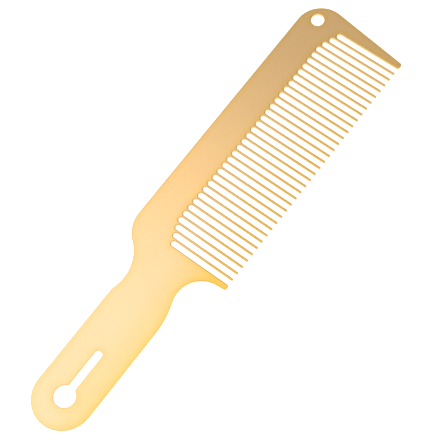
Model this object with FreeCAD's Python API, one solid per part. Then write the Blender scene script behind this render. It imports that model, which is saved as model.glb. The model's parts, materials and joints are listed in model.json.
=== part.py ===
"""Flat-top clipper comb: one stamped plate of satin gold aluminium.

The plate lies flat on the ground plane. +X runs from the handle to the front
of the comb, +Y towards the straight back edge, so the teeth point to -Y, and
+Z is up. The origin is at the centre of the plate's footprint, on its underside.
The handle's own centre line is y = 0. All lengths are in millimetres.

The real comb is a single piece of metal. It is written out as its named
regions, which meet face to face: handle, neck, spine, two guards and the teeth.
"""
import FreeCAD
import Part
import math
import os

# ---- driving dimensions ----
overall_length = 240.3
overall_width = 55.6
thickness = 1.5
rim_radius = 0.45           # rounding of every edge of the plate

# handle and its keyhole
handle_width = 29.4
keyhole_radius = 5.1
keyhole_inset = 15.45       # handle end to the centre of the round part
slot_width = 3.9
slot_reach = 40.75          # handle end to the far end of the slot
slot_end_radius = 1.8
slot_mouth_radius = 0.8     # easing where the slot opens into the round part

# neck, where the handle swells into the comb
waist_start = -53.8         # x where the handle's upper edge starts to dip
waist_low = (-38.7, 10.6)   # corner at the bottom of the dip, before rounding
shoulder_x = -25.45         # corner where the neck's upper edge meets the back
waist_entry_radius = 14.0
throat_start = -51.9        # x where the handle's lower edge starts to rise
throat_top = (-25.9, -6.4)  # corner at the top of the throat, before rounding
throat_entry_radius = 40.0
throat_radius = 13.2

# front of the comb
nose_radius = 13.3
front_lean = math.radians(7.85)
hang_hole_radius = 3.2
hang_hole_place = (111.4, 19.5)

# teeth and guards
tooth_count = 35
tooth_pitch = 3.72
tooth_width = 1.12
first_tooth_x = -18.4
tooth_setback = 0.1         # the teeth stop this far short of the guards
front_gap = 2.63            # the gap beside the tip guard is a little wider
guard_tip_radius = 1.1
heel_tip_x = -24.27         # outer side of the heel guard at its tip
root_depth = 16.9           # back edge to the deepest gap
root_step = 1.27            # first step by which gaps get shallower towards each end
root_growth = 1.17          # how the steps grow towards the guards: 1 keeps them even
heel_steps = 3.0            # length of the stepped stretch, in gaps
tip_steps = 2.78

# planes that part the regions
handle_cut_x = -56.0
neck_cut_x = -28.0

# ---- values worked out from them ----
half_length = overall_length / 2
half_width = overall_width / 2
half_handle = handle_width / 2
tooth_gap = tooth_pitch - tooth_width
gap_count = tooth_count + 1
tooth_tip_y = -half_width + tooth_setback


def turn_at(before, corner, after):
    """Angle by which a path turns at a corner."""
    incoming = (corner - before).normalize()
    outgoing = (after - corner).normalize()
    return math.acos(max(-1.0, min(1.0, incoming.dot(outgoing))))


def tangent_length(before, corner, after, radius):
    return radius * math.tan(turn_at(before, corner, after) / 2)


def rounded_outline(corners):
    """Closed wire through (x, y, radius) corners, each rounded by a tangent arc."""
    points = [FreeCAD.Vector(x, y, 0) for x, y, radius in corners]
    ends = []
    edges = []
    for index, (x, y, radius) in enumerate(corners):
        before = points[index - 1]
        corner = points[index]
        after = points[(index + 1) % len(points)]
        reach = tangent_length(before, corner, after, radius)
        back = (before - corner).normalize()
        ahead = (after - corner).normalize()
        start = corner + back * reach
        finish = corner + ahead * reach
        inward = (back + ahead).normalize()
        to_centre = math.hypot(radius, reach)
        middle = corner + inward * (to_centre - radius)
        ends.append((start, finish))
        edges.append(Part.Arc(start, middle, finish).toShape())
    for index, (start, finish) in enumerate(ends):
        next_start = ends[(index + 1) % len(ends)][0]
        if (next_start - finish).Length > 1e-6:
            edges.append(Part.LineSegment(finish, next_start).toShape())
    return Part.Wire(Part.__sortEdges__(edges))


def tooth_x(number):
    """Centre of a tooth, counted from 1 at the heel."""
    return first_tooth_x + tooth_pitch * (number - 1)


def gap_sides(gap):
    """Left and right sides of a gap, counted from 0 between heel guard and tooth 1."""
    left = tooth_x(gap) + tooth_width / 2
    right = tooth_x(gap + 1) - tooth_width / 2
    if gap == gap_count - 1:
        right = left + front_gap
    return left, right


def gap_root_y(gap):
    """Closed end of a gap. The gaps get shallower in steps towards both guards."""
    from_heel = max(0.0, heel_steps - gap)
    from_tip = max(0.0, tip_steps - (gap_count - 1 - gap))
    return half_width - root_depth - root_step * (from_heel + from_tip) ** root_growth


def gap_square_y(gap):
    """Where a gap's straight sides begin, below its round end."""
    left, right = gap_sides(gap)
    return gap_root_y(gap) - (right - left) / 2


def front_x(y):
    """The leaning front edge."""
    nose_x = half_length - nose_radius
    nose_y = half_width - nose_radius
    touch_x = nose_x + nose_radius * math.cos(front_lean)
    touch_y = nose_y - nose_radius * math.sin(front_lean)
    return touch_x + (y - touch_y) * math.tan(front_lean)


def plate_corners():
    """Corners of the whole plate with their radii, from the handle end round the back."""
    point = FreeCAD.Vector
    handle_top = point(-half_length, half_handle, 0)
    entry = point(waist_start, half_handle, 0)
    low = point(waist_low[0], waist_low[1], 0)
    shoulder = point(shoulder_x, half_width, 0)
    front = point(front_x(half_width), half_width, 0)
    # the dip and the shoulder touch, so each arc takes the length the last one leaves
    entry_reach = tangent_length(handle_top, entry, low, waist_entry_radius)
    low_reach = (low - entry).Length - entry_reach
    low_radius = low_reach / math.tan(turn_at(entry, low, shoulder) / 2)
    shoulder_reach = (shoulder - low).Length - low_reach
    shoulder_radius = shoulder_reach / math.tan(turn_at(low, shoulder, front) / 2)

    corners = [
        (-half_length, half_handle, half_handle),
        (entry.x, entry.y, waist_entry_radius),
        (low.x, low.y, low_radius),
        (shoulder.x, shoulder.y, shoulder_radius),
        (front.x, front.y, nose_radius),
        (front_x(-half_width), -half_width, guard_tip_radius),
    ]
    for gap in reversed(range(gap_count)):
        left, right = gap_sides(gap)
        root_y = gap_root_y(gap)
        root_radius = (right - left) / 2
        last_gap = gap == gap_count - 1
        right_tip_y = -half_width if last_gap else tooth_tip_y
        right_tip_radius = guard_tip_radius if last_gap else tooth_width / 2
        left_tip_y = -half_width if gap == 0 else tooth_tip_y
        left_tip_radius = guard_tip_radius if gap == 0 else tooth_width / 2
        corners.append((right, right_tip_y, right_tip_radius))
        corners.append((right, root_y, root_radius))
        corners.append((left, root_y, root_radius))
        corners.append((left, left_tip_y, left_tip_radius))
    corners += [
        (heel_tip_x, -half_width, guard_tip_radius),
        (throat_top[0], throat_top[1], throat_radius),
        (throat_start, -half_handle, throat_entry_radius),
        (-half_length, -half_handle, half_handle),
    ]
    return corners


def keyhole_cutter():
    """Round hole with a slot running towards the neck."""
    depth = FreeCAD.Vector(0, 0, thickness)
    centre_x = -half_length + keyhole_inset
    slot_end_x = -half_length + slot_reach
    half_slot = slot_width / 2
    # the slot starts inside the round part, so only its far end shows
    slot = rounded_outline([
        (centre_x, -half_slot, slot_end_radius),
        (slot_end_x, -half_slot, slot_end_radius),
        (slot_end_x, half_slot, slot_end_radius),
        (centre_x, half_slot, slot_end_radius),
    ])
    slot_solid = Part.Face(slot).extrude(depth)
    round_part = Part.makeCylinder(keyhole_radius, thickness, FreeCAD.Vector(centre_x, 0, 0))
    cutter = round_part.fuse(slot_solid).removeSplitter()
    mouth_edges = [edge for edge in cutter.Edges if is_mouth(edge, centre_x)]
    return cutter.makeFillet(slot_mouth_radius, mouth_edges)


def is_mouth(edge, centre_x):
    """The two upright edges where the slot's sides meet the round part."""
    if not is_upright(edge):
        return False
    corner = edge.Vertexes[0].Point
    on_slot_side = abs(abs(corner.y) - slot_width / 2) < 1e-6
    return on_slot_side and corner.x < centre_x + keyhole_radius


def is_upright(edge):
    ends = edge.Vertexes
    return len(ends) == 2 and abs(ends[0].Z - ends[1].Z) > thickness / 2


def is_rim(edge):
    """Edges that lie wholly in the top or the bottom face."""
    box = edge.BoundBox
    flat = box.ZLength < 1e-6
    return flat and (abs(box.ZMin) < 1e-6 or abs(box.ZMax - thickness) < 1e-6)


def whole_plate():
    face = Part.Face(rounded_outline(plate_corners()))
    plate = face.extrude(FreeCAD.Vector(0, 0, thickness))
    hole_x, hole_y = hang_hole_place
    hang_hole = Part.makeCylinder(hang_hole_radius, thickness, FreeCAD.Vector(hole_x, hole_y, 0))
    plate = plate.cut(hang_hole).cut(keyhole_cutter())
    rims = [edge for edge in plate.Edges if is_rim(edge)]
    return plate.makeFillet(rim_radius, rims)


def prism(x_low, x_high, y_low, y_high):
    """Upright rectangular block, as thick as the plate."""
    corner = FreeCAD.Vector(x_low, y_low, 0)
    return Part.makeBox(x_high - x_low, y_high - y_low, thickness, corner)


def gap_middle(gap):
    left, right = gap_sides(gap)
    return (left + right) / 2


def single_solid(shape, name):
    if len(shape.Solids) != 1 or not shape.isValid():
        raise ValueError(f"{name} is not one sound solid")
    return shape.Solids[0]


def region_prisms():
    """A block for each region except the spine, which is what they leave."""
    beyond = half_length + 1
    last_gap = gap_count - 1
    blocks = {
        "handle": prism(-beyond, handle_cut_x, -beyond, beyond),
        "neck": prism(handle_cut_x, neck_cut_x, -beyond, beyond),
        "heel_guard": prism(neck_cut_x, gap_middle(0), -beyond, gap_square_y(0)),
        "tip_guard": prism(gap_middle(last_gap), beyond, -beyond, gap_square_y(last_gap)),
    }
    for number in range(1, tooth_count + 1):
        root_y = min(gap_square_y(number - 1), gap_square_y(number))
        blocks[f"tooth_{number:02d}"] = prism(
            gap_middle(number - 1), gap_middle(number), -beyond, root_y)
    return blocks


def named_regions(plate):
    """Every region of the plate, by name. Neighbours share a face and never overlap."""
    blocks = region_prisms()
    regions = {name: single_solid(plate.common(block), name) for name, block in blocks.items()}
    regions["spine"] = single_solid(plate.cut(list(blocks.values())), "spine")
    return regions


def main():
    os.makedirs("parts", exist_ok=True)
    for name, shape in named_regions(whole_plate()).items():
        shape.exportStep(f"parts/{name}.step")


main()
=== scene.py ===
"""Flat-top clipper comb in satin champagne-gold metal, modelled around its frame.

The comb is drawn as one outline, raised to a plate and given its rounded rims,
and then parted into its named regions, so that neighbours meet without a step.
All lengths are in metres.
"""
import json
import math

import bmesh
import bpy
import numpy as np
from mathutils import Matrix, Vector

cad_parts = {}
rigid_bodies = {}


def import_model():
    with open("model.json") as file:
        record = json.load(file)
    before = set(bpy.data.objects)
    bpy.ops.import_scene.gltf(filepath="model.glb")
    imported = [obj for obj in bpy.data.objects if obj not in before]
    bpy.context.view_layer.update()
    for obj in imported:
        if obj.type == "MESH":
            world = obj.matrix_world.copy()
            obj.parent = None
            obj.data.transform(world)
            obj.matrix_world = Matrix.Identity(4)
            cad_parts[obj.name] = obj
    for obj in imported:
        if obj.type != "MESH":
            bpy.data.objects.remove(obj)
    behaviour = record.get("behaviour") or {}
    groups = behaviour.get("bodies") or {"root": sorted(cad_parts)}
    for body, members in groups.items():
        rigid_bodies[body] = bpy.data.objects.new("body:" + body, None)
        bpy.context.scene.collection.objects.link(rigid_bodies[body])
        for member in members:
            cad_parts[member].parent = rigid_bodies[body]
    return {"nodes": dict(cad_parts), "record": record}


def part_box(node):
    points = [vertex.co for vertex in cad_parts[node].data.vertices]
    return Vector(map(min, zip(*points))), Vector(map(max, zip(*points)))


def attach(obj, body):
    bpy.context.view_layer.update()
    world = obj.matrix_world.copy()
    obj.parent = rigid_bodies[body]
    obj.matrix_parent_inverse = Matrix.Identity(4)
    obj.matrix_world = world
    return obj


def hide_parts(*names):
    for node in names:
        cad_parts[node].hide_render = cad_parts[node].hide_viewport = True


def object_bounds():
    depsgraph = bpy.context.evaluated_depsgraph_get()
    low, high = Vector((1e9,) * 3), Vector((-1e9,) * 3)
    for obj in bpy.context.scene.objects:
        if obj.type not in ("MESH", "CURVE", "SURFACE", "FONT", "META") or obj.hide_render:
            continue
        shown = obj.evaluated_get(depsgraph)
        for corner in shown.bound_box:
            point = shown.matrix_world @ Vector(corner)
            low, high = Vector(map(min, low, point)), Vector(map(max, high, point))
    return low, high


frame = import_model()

cad_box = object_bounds()
MM = 0.001

# ---- the plate, from the frame ----
plate_low, plate_high = cad_box
handle_low, handle_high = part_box("handle")
neck_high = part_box("neck")[1]
heel_low, heel_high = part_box("heel_guard")
tip_low, tip_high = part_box("tip_guard")
thickness = plate_high.z - plate_low.z
tooth_names = sorted(name for name in frame["nodes"] if name.startswith("tooth_"))
tooth_boxes = [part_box(name) for name in tooth_names]
mounts = {mount["name"]: mount for mount in frame["record"]["mounts"]}

# ---- shapes that the frame's boxes don't state ----
rim_radius = 0.45 * MM
waist_start_x = -53.8 * MM
waist_low = Vector((-38.7, 10.6)) * MM
shoulder_x = -25.45 * MM
waist_entry_radius = 14.0 * MM
throat_start_x = -51.9 * MM
throat_top = Vector((-25.9, -6.4)) * MM
throat_entry_radius = 40.0 * MM
throat_radius = 13.2 * MM
heel_tip_x = -24.27 * MM
guard_tip_radius = 1.1 * MM
nose_radius = 13.3 * MM
front_lean = math.radians(7.85)
slot_width = 3.9 * MM
slot_reach = 40.75 * MM         # handle end to the slot's far end
slot_end_radius = 1.8 * MM
slot_mouth_radius = 0.8 * MM

# ---- fineness of the mesh ----
small_radius = 2.0 * MM         # arcs under this radius are turned in coarser steps
small_arc_step = math.radians(10.0)
large_arc_step = math.radians(3.0)
hanging_hole_points = 72
starter_size = 1.0 * MM         # size of a plane that is merged or deleted at once
shortest_line = 0.0001 * MM     # a line shorter than this isn't drawn
rim_rings = 5                   # rings of faces round each rounded rim
rim_border = 0.08 * MM          # narrow flat border that keeps the faces' shading flat
face_grid = 1.5 * MM            # spacing of the lines across the flat faces
merge_distance = 0.0005 * MM    # points nearer than this are the same point
level_tolerance = 0.001 * MM    # how exactly the outline's points share one height
batch_size = 500                # points measured at a time against the outline
cap_normal = 0.9                # a face whose normal is this upright is the plate's top or bottom
flat_normal = 0.999             # the same, without any of the rounded rim
smooth_angle = math.radians(40.0)

# ---- finish ----
pale_gold = (0.97, 0.65, 0.36, 1)
# painted shade: the deeper colour mixed in along the rims, on the blade and towards the teeth
shaded_gold = (0.95, 0.55, 0.09, 1)
# painted highlight: the brighter colour given to the side walls
wall_highlight_gold = (0.98, 0.68, 0.29, 1)
wall_highlight_reach = 0.10 * MM          # how far the painted highlight of the cut walls laps onto the rims
painted_shade_at_rim = 0.30                  # painted shade: how far the colour goes from pale to deep along a rim
painted_shade_at_rim_reach = 4.0 * MM
painted_shade_on_blade = 0.32                # the same painted shade for the blade against the handle
painted_shade_on_blade_from = -70.0 * MM
painted_shade_on_blade_to = 20.0 * MM
painted_shade_toward_teeth = 0.80                # the same painted shade for the lower side, from the handle to mid blade
painted_shade_toward_teeth_from = 0.0 * MM
painted_shade_toward_teeth_to = -27.0 * MM
painted_shade_toward_teeth_fade_from = -10.0 * MM
painted_shade_toward_teeth_fade_to = 130.0 * MM
painted_dark_rim = 0.22                # painted shade: how much darker the colour is along the blade's rims
painted_dark_rim_reach = 1.0 * MM
painted_dark_rim_from = -50.0 * MM
painted_dark_rim_to = -10.0 * MM
rim_polish_reach = 0.8 * MM
rim_roughness = 0.24
face_roughness = 0.30
cloud_size = 25.0 * MM
cloud_detail = 5.0
cloud_roughness = 0.7
cloud_spread = 0.2              # how far the noise strays either side of its middle value
cloud_depth = 0.015
grain_size = 0.5 * MM
grain_detail = 2.0
grain_noise_roughness = 0.6
grain_spread = 0.25
grain_depth = 0.045
grain_bump = 0.3
crater_size = 0.25 * MM
crater_depth = 0.01 * MM
crater_bump = 0.35
coat_weight = 0.35              # the clear sealed layer over the dye
coat_roughness = 0.4
coat_ior = 1.5

# ---- studio ----
camera_lens = 100.4             # focal length in millimetres
camera_sensor = 36.0            # sensor width in millimetres
camera_clip = 0.01
camera_aim = (0.66 * MM, -7.96 * MM)
camera_distance = 571.9 * MM
camera_tilt = 21.92             # degrees between the view and straight down
camera_azimuth = 231.0          # degrees round from +X to the camera's side
camera_roll = -14.52            # degrees
room_light = 0.54
overhead_place = (-0.17, 0.25, 0.60)
overhead_aim = (-0.17, 0.25, 0.0)
overhead_size = (0.88, 1.10)
overhead_radiance = 0.46
inner_place = (-0.20, 0.25, 0.59)
inner_aim = (-0.20, 0.25, 0.0)
inner_size = (0.72, 1.00)
inner_radiance = 0.27
front_place = (0.0, -1.20, 0.50)
front_aim = (0.0, 0.0, 0.0)
front_size = (2.40, 1.20)
front_radiance = 0.40
table_size = 12.0
table_grey = (0.6, 0.6, 0.6, 1)
table_roughness = 0.9
table_gloss = 0.0
table_glow = 0.80
white = (1, 1, 1, 1)


# ---------------------------------------------------------------- drawing

class Pen:
    """Draws an outline in edit mode, by extruding and spinning its last point."""

    def __init__(self, point):
        bpy.ops.mesh.select_all(action="DESELECT")
        bpy.ops.mesh.primitive_plane_add(
            size=starter_size, location=(point.x, point.y, rim_radius))
        bpy.ops.mesh.merge(type="CENTER")
        self.point = point.copy()

    def line_to(self, point):
        step = point - self.point
        if step.length > shortest_line:
            bpy.ops.mesh.extrude_region_move(
                TRANSFORM_OT_translate={"value": (step.x, step.y, 0)})
        self.point = point.copy()

    def arc_to(self, point, centre, turn):
        """Turn about a centre, anticlockwise if turn is positive."""
        radius = (point - centre).length
        arc_step = small_arc_step if radius < small_radius else large_arc_step
        bpy.ops.mesh.spin(steps=max(2, math.ceil(abs(turn) / arc_step)), angle=-turn,
                          center=(centre.x, centre.y, rim_radius), axis=(0, 0, 1))
        self.point = point.copy()


def turn_at(before, corner, after):
    """Signed angle by which a path turns at a corner, positive anticlockwise."""
    return (after - corner).angle_signed(corner - before)


def tangent_length(before, corner, after, radius):
    return radius * math.tan(abs(turn_at(before, corner, after)) / 2)


def draw_rounded(corners):
    """Closed outline through (point, radius) corners, each rounded by a tangent arc."""
    arcs = []
    for index, (corner, radius) in enumerate(corners):
        before = corners[index - 1][0]
        after = corners[(index + 1) % len(corners)][0]
        reach = tangent_length(before, corner, after, radius)
        back = (before - corner).normalized()
        ahead = (after - corner).normalized()
        centre = corner + (back + ahead).normalized() * math.hypot(radius, reach)
        turn = turn_at(before, corner, after)
        arcs.append((corner + back * reach, corner + ahead * reach, centre, turn))
    pen = Pen(arcs[0][0])
    for start, finish, centre, turn in arcs:
        pen.line_to(start)
        pen.arc_to(finish, centre, turn)
    pen.line_to(arcs[0][0])


def front_x(y):
    """The leaning front edge."""
    touch_x = plate_high.x - nose_radius * (1 - math.cos(front_lean))
    touch_y = plate_high.y - nose_radius * (1 + math.sin(front_lean))
    return touch_x + (y - touch_y) * math.tan(front_lean)


def comb_corners():
    """The comb's outline, clockwise from the handle end round the back."""
    corners = [(Vector((plate_low.x, handle_high.y)), handle_high.y)]

    # the dip and the shoulder touch, so each arc takes the length the last one leaves
    entry = Vector((waist_start_x, handle_high.y))
    shoulder = Vector((shoulder_x, plate_high.y))
    front = Vector((front_x(plate_high.y), plate_high.y))
    entry_reach = tangent_length(corners[0][0], entry, waist_low, waist_entry_radius)
    waist_reach = (waist_low - entry).length - entry_reach
    waist_radius = waist_reach / math.tan(abs(turn_at(entry, waist_low, shoulder)) / 2)
    shoulder_reach = (shoulder - waist_low).length - waist_reach
    shoulder_radius = shoulder_reach / math.tan(abs(turn_at(waist_low, shoulder, front)) / 2)
    corners.append((entry, waist_entry_radius))
    corners.append((waist_low, waist_radius))
    corners.append((shoulder, shoulder_radius))
    corners.append((front, nose_radius))
    corners.append((Vector((front_x(plate_low.y), plate_low.y)), guard_tip_radius))

    # down one side of every gap and up the other, from the front back to the heel
    walls = [(heel_low, heel_high)] + tooth_boxes + [(tip_low, tip_high)]
    for right, left in zip(reversed(walls), reversed(walls[:-1])):
        left_x = left[1].x
        right_x = right[0].x
        root_radius = (right_x - left_x) / 2
        root_y = max(left[1].y, right[1].y) + root_radius
        right_tip = min((right[1].x - right[0].x) / 2, guard_tip_radius)
        left_tip = min((left[1].x - left[0].x) / 2, guard_tip_radius)
        corners.append((Vector((right_x, right[0].y)), right_tip))
        corners.append((Vector((right_x, root_y)), root_radius))
        corners.append((Vector((left_x, root_y)), root_radius))
        corners.append((Vector((left_x, left[0].y)), left_tip))

    corners.append((Vector((heel_tip_x, plate_low.y)), guard_tip_radius))
    corners.append((throat_top, throat_radius))
    corners.append((Vector((throat_start_x, handle_low.y)), throat_entry_radius))
    corners.append((Vector((plate_low.x, handle_low.y)), -handle_low.y))
    return corners


def draw_keyhole():
    """Round hole that opens through eased corners into a slot."""
    mount = mounts["keyhole"]
    centre = Vector(mount["pos_m"][:2])
    radius = mount["dims"]["r_mm"] * MM
    half_slot = slot_width / 2
    slot_end_x = plate_low.x + slot_reach
    # an easing arc touches the slot's side and the round hole from outside
    ease_y = half_slot + slot_mouth_radius
    ease_x = math.sqrt((radius + slot_mouth_radius) ** 2 - ease_y ** 2)
    mouth_angle = math.atan2(ease_y, ease_x)
    on_hole = Vector((math.cos(mouth_angle), math.sin(mouth_angle))) * radius
    pen = Pen(centre + on_hole)
    pen.arc_to(centre + Vector((on_hole.x, -on_hole.y)), centre, 2 * math.pi - 2 * mouth_angle)
    lower_ease = centre + Vector((ease_x, -ease_y))
    pen.arc_to(centre + Vector((ease_x, -half_slot)), lower_ease, mouth_angle - math.pi / 2)
    for side in (-1, 1):
        end_centre = Vector((slot_end_x - slot_end_radius, side * (half_slot - slot_end_radius)))
        outer = end_centre + Vector((slot_end_radius, 0))
        flank = end_centre + Vector((0, side * slot_end_radius))
        start, finish = (flank, outer) if side < 0 else (outer, flank)
        pen.line_to(start)
        pen.arc_to(finish, end_centre, math.pi / 2)
    upper_ease = centre + Vector((ease_x, ease_y))
    pen.line_to(centre + Vector((ease_x, half_slot)))
    pen.arc_to(centre + on_hole, upper_ease, mouth_angle - math.pi / 2)


def draw_hanging_hole():
    mount = mounts["hanging_hole"]
    bpy.ops.mesh.select_all(action="DESELECT")
    bpy.ops.mesh.primitive_circle_add(
        vertices=hanging_hole_points, radius=mount["dims"]["r_mm"] * MM,
        location=(mount["pos_m"][0], mount["pos_m"][1], rim_radius))


# ---------------------------------------------------------------- plate

def edit_mesh():
    return bmesh.from_edit_mesh(bpy.context.object.data)


def select_faces(wanted):
    """Select exactly the faces for which wanted(face) is true."""
    bpy.ops.mesh.select_all(action="DESELECT")
    mesh = edit_mesh()
    for face in mesh.faces:
        if wanted(face):
            face.select_set(True)
    bmesh.update_edit_mesh(bpy.context.object.data)


def round_rim(side):
    """Round the rim of the top (side 1) or the bottom (side -1) by stepped insets."""
    select_faces(lambda face: face.normal.z * side > cap_normal)
    for ring in range(rim_rings):
        angle = math.pi / 2 * ring / rim_rings
        next_angle = math.pi / 2 * (ring + 1) / rim_rings
        rise = rim_radius * (math.sin(next_angle) - math.sin(angle))
        bpy.ops.mesh.inset(thickness=rim_radius * (math.cos(angle) - math.cos(next_angle)))
        bpy.ops.transform.translate(value=(0, 0, side * rise))
    bpy.ops.mesh.inset(thickness=rim_border)


def outline_segments(plate):
    """Start and end points of every outline edge, seen from above."""
    mesh = plate.data
    segments = []
    for edge in mesh.edges:
        start, end = (mesh.vertices[index].co for index in edge.vertices)
        if max(abs(start.z - rim_radius), abs(end.z - rim_radius)) < level_tolerance:
            segments.append((start.xy, end.xy))
    return np.array(segments)


def model_plate():
    """The whole comb as one closed plate with rounded rims."""
    bpy.ops.object.select_all(action="DESELECT")
    bpy.ops.mesh.primitive_plane_add(size=starter_size)
    plate = bpy.context.object
    bpy.ops.object.mode_set(mode="EDIT")
    bpy.ops.mesh.select_all(action="SELECT")
    bpy.ops.mesh.delete(type="VERT")
    draw_rounded(comb_corners())
    draw_keyhole()
    draw_hanging_hole()
    bpy.ops.mesh.select_all(action="SELECT")
    bpy.ops.mesh.remove_doubles(threshold=merge_distance)
    bpy.ops.mesh.fill(use_beauty=True)
    bpy.ops.mesh.select_all(action="SELECT")
    rise = thickness - 2 * rim_radius
    bpy.ops.mesh.extrude_region_move(TRANSFORM_OT_translate={"value": (0, 0, rise)})
    bpy.ops.mesh.select_all(action="SELECT")
    bpy.ops.mesh.normals_make_consistent(inside=False)
    round_rim(1)
    round_rim(-1)
    bpy.ops.object.mode_set(mode="OBJECT")
    return plate


# ---------------------------------------------------------------- regions

def cut_along(plane_point, plane_normal, column):
    """Cut the open mesh along a plane, but only where it lies between two values of x."""
    low_x, high_x = column

    def crosses(face):
        corners = [vertex.co for vertex in face.verts]
        inside = any(low_x <= corner.x <= high_x for corner in corners)
        return inside and any((corner - plane_point).dot(plane_normal) > 0 for corner in corners)

    select_faces(crosses)
    bpy.ops.mesh.bisect(plane_co=plane_point, plane_no=plane_normal, threshold=merge_distance)


def take_region(name, plane_point, plane_normal, column):
    """Part off what lies beyond a plane in a column of the plate, as its own object."""
    cut_along(plane_point, plane_normal, column)
    low_x, high_x = column

    def beyond(face):
        middle = face.calc_center_median()
        inside = low_x < middle.x < high_x
        return inside and (middle - plane_point).dot(plane_normal) > 0

    select_faces(beyond)
    before = set(bpy.data.objects)
    bpy.ops.mesh.separate(type="SELECTED")
    region = (set(bpy.data.objects) - before).pop()
    region.name = "comb_" + name
    # the plate is closed at once, so that the next cut crosses this one cleanly
    bpy.ops.mesh.select_all(action="SELECT")
    bpy.ops.mesh.fill_holes(sides=0)
    return region


def part_plate(plate):
    """Part the plate into its named regions, each a piece of its own."""
    toward_handle = Vector((-1, 0, 0))
    toward_tips = Vector((0, -1, 0))
    everywhere = (-1, 1)
    bpy.ops.object.mode_set(mode="EDIT")
    regions = {
        "handle": take_region("handle", Vector((handle_high.x, 0, 0)), toward_handle, everywhere),
        "neck": take_region("neck", Vector((neck_high.x, 0, 0)), toward_handle, everywhere),
    }
    half_gap = (tooth_boxes[1][0].x - tooth_boxes[0][1].x) / 2
    walls = [("heel_guard", heel_low, heel_high)]
    walls += [(name, low, high) for name, (low, high) in zip(tooth_names, tooth_boxes)]
    walls += [("tip_guard", tip_low, tip_high)]
    for name, low, high in walls:
        column = (low.x - half_gap, high.x + half_gap)
        regions[name] = take_region(name, Vector((0, high.y, 0)), toward_tips, column)
    bpy.ops.object.mode_set(mode="OBJECT")
    plate.name = "comb_spine"
    regions["spine"] = plate
    return regions


def grid_faces(piece):
    """Lines across the flat faces, so that a value painted on the points is smooth."""
    bpy.context.view_layer.objects.active = piece
    bpy.ops.object.mode_set(mode="EDIT")
    for axis in (Vector((1, 0, 0)), Vector((0, 1, 0))):
        places = [Vector(corner).dot(axis) for corner in piece.bound_box]
        first = math.ceil(min(places) / face_grid)
        last = math.floor(max(places) / face_grid)
        for line in range(first, last + 1):
            select_faces(lambda face: abs(face.normal.z) > flat_normal)
            bpy.ops.mesh.bisect(plane_co=axis * line * face_grid, plane_no=axis,
                                threshold=merge_distance)
    bpy.ops.object.mode_set(mode="OBJECT")


def paint_rim_distance(piece, segments):
    """Store each point's distance from the comb's outline, seen from above."""
    points = np.array([vertex.co.xy for vertex in piece.data.vertices])
    start_x, start_y = segments[:, 0].T
    span_x, span_y = (segments[:, 1] - segments[:, 0]).T
    lengths = span_x ** 2 + span_y ** 2
    distances = []
    for batch in np.array_split(points, len(points) // batch_size + 1):
        away_x = batch[:, :1] - start_x
        away_y = batch[:, 1:] - start_y
        along = np.clip((away_x * span_x + away_y * span_y) / lengths, 0, 1)
        squared = (away_x - along * span_x) ** 2 + (away_y - along * span_y) ** 2
        distances.append(np.sqrt(squared.min(axis=1)))
    attribute = piece.data.attributes.new("rim_distance", "FLOAT", "POINT")
    attribute.data.foreach_set("value", np.concatenate(distances).astype(np.float32))


def close_end(piece):
    """Close a region where it was parted off."""
    bpy.ops.object.select_all(action="DESELECT")
    piece.select_set(True)
    bpy.context.view_layer.objects.active = piece
    bpy.ops.object.mode_set(mode="EDIT")
    bpy.ops.mesh.select_all(action="SELECT")
    bpy.ops.mesh.fill_holes(sides=0)
    bpy.ops.mesh.select_all(action="SELECT")
    bpy.ops.mesh.normals_make_consistent(inside=False)
    bpy.ops.object.mode_set(mode="OBJECT")


# ---------------------------------------------------------------- material

def add_node(tree, kind, inputs=None, **settings):
    """A shader node with its settings and its input values or links."""
    node = tree.nodes.new(kind)
    for key, value in settings.items():
        setattr(node, key, value)
    for key, value in (inputs or {}).items():
        if isinstance(value, bpy.types.NodeSocket):
            tree.links.new(value, node.inputs[key])
        else:
            node.inputs[key].default_value = value
    return node


def fade(tree, value, start, finish, result, easing="SMOOTHSTEP"):
    """From 0 at one value to a result at another."""
    low, high = min(start, finish), max(start, finish)
    at_low, at_high = (0.0, result) if start < finish else (result, 0.0)
    node = add_node(tree, "ShaderNodeMapRange", {
        "Value": value, "From Min": low, "From Max": high, "To Min": at_low, "To Max": at_high,
    }, interpolation_type=easing)
    return node.outputs["Result"]


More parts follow.
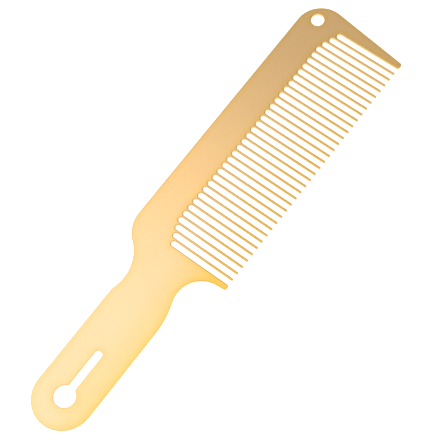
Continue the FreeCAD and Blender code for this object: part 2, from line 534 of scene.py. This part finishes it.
def satin_gold():
    """Champagne-gold anodised aluminium, bead-blasted, with painted shade that deepens its colour
    along its rims, on the blade and towards the teeth, and a painted highlight on its side walls.
    """
    material = bpy.data.materials.new("satin_gold")
    material.use_nodes = True
    tree = material.node_tree
    tree.nodes.clear()
    place = add_node(tree, "ShaderNodeTexCoord").outputs["Object"]
    rim = add_node(tree, "ShaderNodeAttribute", attribute_name="rim_distance").outputs["Fac"]
    along = add_node(tree, "ShaderNodeSeparateXYZ", {"Vector": place})

    # painted shade: the colour is mixed deeper near an edge, on the blade and towards the teeth
    rim_painted_shade = fade(tree, rim, painted_shade_at_rim_reach, 0.0, painted_shade_at_rim)
    blade_painted_shade = fade(tree, along.outputs["X"], painted_shade_on_blade_from, painted_shade_on_blade_to, painted_shade_on_blade)
    tooth_side_painted_shade = fade(tree, along.outputs["Y"], painted_shade_toward_teeth_from, painted_shade_toward_teeth_to, painted_shade_toward_teeth, "LINEAR")
    tooth_side_shade_fade = fade(tree, along.outputs["X"], painted_shade_toward_teeth_fade_to, painted_shade_toward_teeth_fade_from, 1.0)
    side_painted_shade = add_node(tree, "ShaderNodeMath", {0: tooth_side_painted_shade, 1: tooth_side_shade_fade},
                          operation="MULTIPLY")
    long_painted_shade = add_node(tree, "ShaderNodeMath", {0: rim_painted_shade, 1: blade_painted_shade}, operation="ADD")
    painted_shade_amount = add_node(tree, "ShaderNodeMath", {
        0: long_painted_shade.outputs["Value"], 1: side_painted_shade.outputs["Value"]}, operation="ADD")
    colour = add_node(tree, "ShaderNodeMix", {
        "Factor": painted_shade_amount.outputs["Value"], "A": pale_gold, "B": shaded_gold}, data_type="RGBA")

    # cloudiness of the dye, a few centimetres across and very faint
    cloud = add_node(tree, "ShaderNodeTexNoise", {
        "Vector": place, "Scale": 1 / cloud_size,
        "Detail": cloud_detail, "Roughness": cloud_roughness})
    cloud_level = add_node(tree, "ShaderNodeMapRange", {
        "Value": cloud.outputs["Fac"],
        "From Min": 0.5 - cloud_spread, "From Max": 0.5 + cloud_spread,
        "To Min": 1 - cloud_depth, "To Max": 1 + cloud_depth})
    # blasted grain: tiny craters that catch the light one by one
    grain = add_node(tree, "ShaderNodeTexNoise", {
        "Vector": place, "Scale": 1 / grain_size,
        "Detail": grain_detail, "Roughness": grain_noise_roughness})
    grain_level = add_node(tree, "ShaderNodeMapRange", {
        "Value": grain.outputs["Fac"],
        "From Min": 0.5 - grain_spread, "From Max": 0.5 + grain_spread,
        "To Min": 1 - grain_depth, "To Max": 1 + grain_depth})
    level = add_node(tree, "ShaderNodeMath", {
        0: cloud_level.outputs["Result"], 1: grain_level.outputs["Result"]}, operation="MULTIPLY")
    # painted shade: the blade's rims are painted darker than its faces
    near_rim = fade(tree, rim, painted_dark_rim_reach, 0.0, 1.0)
    on_blade = fade(tree, along.outputs["X"], painted_dark_rim_from, painted_dark_rim_to, painted_dark_rim)
    painted_rim_shade_loss = add_node(tree, "ShaderNodeMath", {0: near_rim, 1: on_blade}, operation="MULTIPLY")
    painted_rim_shade_level = add_node(tree, "ShaderNodeMath", {0: 1.0, 1: painted_rim_shade_loss.outputs["Value"]},
                         operation="SUBTRACT")
    full_level = add_node(tree, "ShaderNodeMath", {
        0: level.outputs["Value"], 1: painted_rim_shade_level.outputs["Value"]}, operation="MULTIPLY")
    grain_and_painted_shade = add_node(tree, "ShaderNodeVectorMath", {
        0: colour.outputs["Result"], "Scale": full_level.outputs["Value"]}, operation="SCALE")

    # painted highlight: the cut side walls are painted brighter than the blasted faces
    on_wall = fade(tree, rim, wall_highlight_reach, 0.0, 1.0)
    shade = add_node(tree, "ShaderNodeMix", {
        "Factor": on_wall, "A": grain_and_painted_shade.outputs["Vector"], "B": wall_highlight_gold}, data_type="RGBA")

    # rims are handled and wiped, so they are a little smoother
    smooth = add_node(tree, "ShaderNodeMapRange", {
        "Value": rim, "From Min": 0.0, "From Max": rim_polish_reach,
        "To Min": rim_roughness, "To Max": face_roughness})
    rough = add_node(tree, "ShaderNodeMath", {
        0: smooth.outputs["Result"], 1: grain_level.outputs["Result"]}, operation="MULTIPLY")

    blasted = add_node(tree, "ShaderNodeTexVoronoi", {
        "Vector": place, "Scale": 1 / crater_size}, feature="SMOOTH_F1")
    bump = add_node(tree, "ShaderNodeBump", {
        "Strength": crater_bump, "Distance": crater_depth, "Height": blasted.outputs["Distance"]})
    fine_bump = add_node(tree, "ShaderNodeBump", {
        "Strength": grain_bump, "Distance": crater_depth, "Height": grain.outputs["Fac"],
        "Normal": bump.outputs["Normal"]})

    shader = add_node(tree, "ShaderNodeBsdfPrincipled", {
        "Base Color": shade.outputs["Result"], "Metallic": 1.0,
        "Roughness": rough.outputs["Value"], "Normal": fine_bump.outputs["Normal"],
        "Coat Weight": coat_weight, "Coat Roughness": coat_roughness, "Coat IOR": coat_ior})
    add_node(tree, "ShaderNodeOutputMaterial", {"Surface": shader.outputs["BSDF"]})
    return material


def pale_floor():
    """The studio's plain white table, lit a little from below."""
    material = bpy.data.materials.new("pale_table")
    material.use_nodes = True
    shader = material.node_tree.nodes["Principled BSDF"]
    shader.inputs["Base Color"].default_value = table_grey
    shader.inputs["Roughness"].default_value = table_roughness
    shader.inputs["Specular IOR Level"].default_value = table_gloss
    shader.inputs["Emission Color"].default_value = white
    shader.inputs["Emission Strength"].default_value = table_glow
    return material


# ---------------------------------------------------------------- studio

def add_camera():
    """Long lens, above the handle's lower side and looking down at the comb."""
    data = bpy.data.cameras.new("camera")
    data.lens = camera_lens
    data.sensor_width = camera_sensor
    data.clip_start = camera_clip
    camera = bpy.data.objects.new("camera", data)
    bpy.context.collection.objects.link(camera)
    look_at = Vector((*camera_aim, plate_high.z))
    azimuth = math.radians(camera_azimuth)
    tilt = math.radians(camera_tilt)
    sideways = math.sin(tilt)
    toward_camera = Vector((
        math.cos(azimuth) * sideways, math.sin(azimuth) * sideways, math.cos(tilt)))
    turn = (-toward_camera).to_track_quat("-Z", "Y").to_matrix()
    roll = Matrix.Rotation(math.radians(camera_roll), 3, "Z")
    camera.matrix_world = (turn @ roll).to_4x4()
    camera.location = look_at + toward_camera * camera_distance
    bpy.context.scene.camera = camera


def add_softbox(name, place, aim, size, radiance):
    """Area light whose face looks equally bright whatever its size."""
    width, height = size
    data = bpy.data.lights.new(name, "AREA")
    data.shape = "RECTANGLE"
    data.size = width
    data.size_y = height
    data.energy = radiance * math.pi * width * height
    lamp = bpy.data.objects.new(name, data)
    bpy.context.collection.objects.link(lamp)
    lamp.location = place
    lamp.rotation_euler = (Vector(aim) - Vector(place)).to_track_quat("-Z", "Y").to_euler()


def light_studio():
    world = bpy.data.worlds.new("studio")
    bpy.context.scene.world = world
    world.use_nodes = True
    sky = world.node_tree.nodes["Background"]
    sky.inputs["Color"].default_value = white
    sky.inputs["Strength"].default_value = room_light
    add_softbox("overhead", overhead_place, overhead_aim, overhead_size, overhead_radiance)
    add_softbox("overhead_inner", inner_place, inner_aim, inner_size, inner_radiance)
    add_softbox("front_card", front_place, front_aim, front_size, front_radiance)
    bpy.ops.mesh.primitive_plane_add(size=table_size, location=(0, 0, plate_low.z))
    table = bpy.context.object
    table.name = "table"
    table.data.materials.append(pale_floor())
    bpy.context.scene.view_settings.view_transform = "Standard"


add_camera()
light_studio()
gold = satin_gold()
plate = model_plate()
segments = outline_segments(plate)
regions = part_plate(plate)
for name in ("handle", "neck", "spine", "heel_guard", "tip_guard"):
    grid_faces(regions[name])
for name, piece in regions.items():
    if piece is not plate:
        close_end(piece)
    paint_rim_distance(piece, segments)
    bpy.ops.object.select_all(action="DESELECT")
    piece.select_set(True)
    bpy.context.view_layer.objects.active = piece
    bpy.ops.object.shade_smooth_by_angle(angle=smooth_angle)
    piece.data.materials.clear()
    piece.data.materials.append(gold)
    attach(piece, "root")
    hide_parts(name)
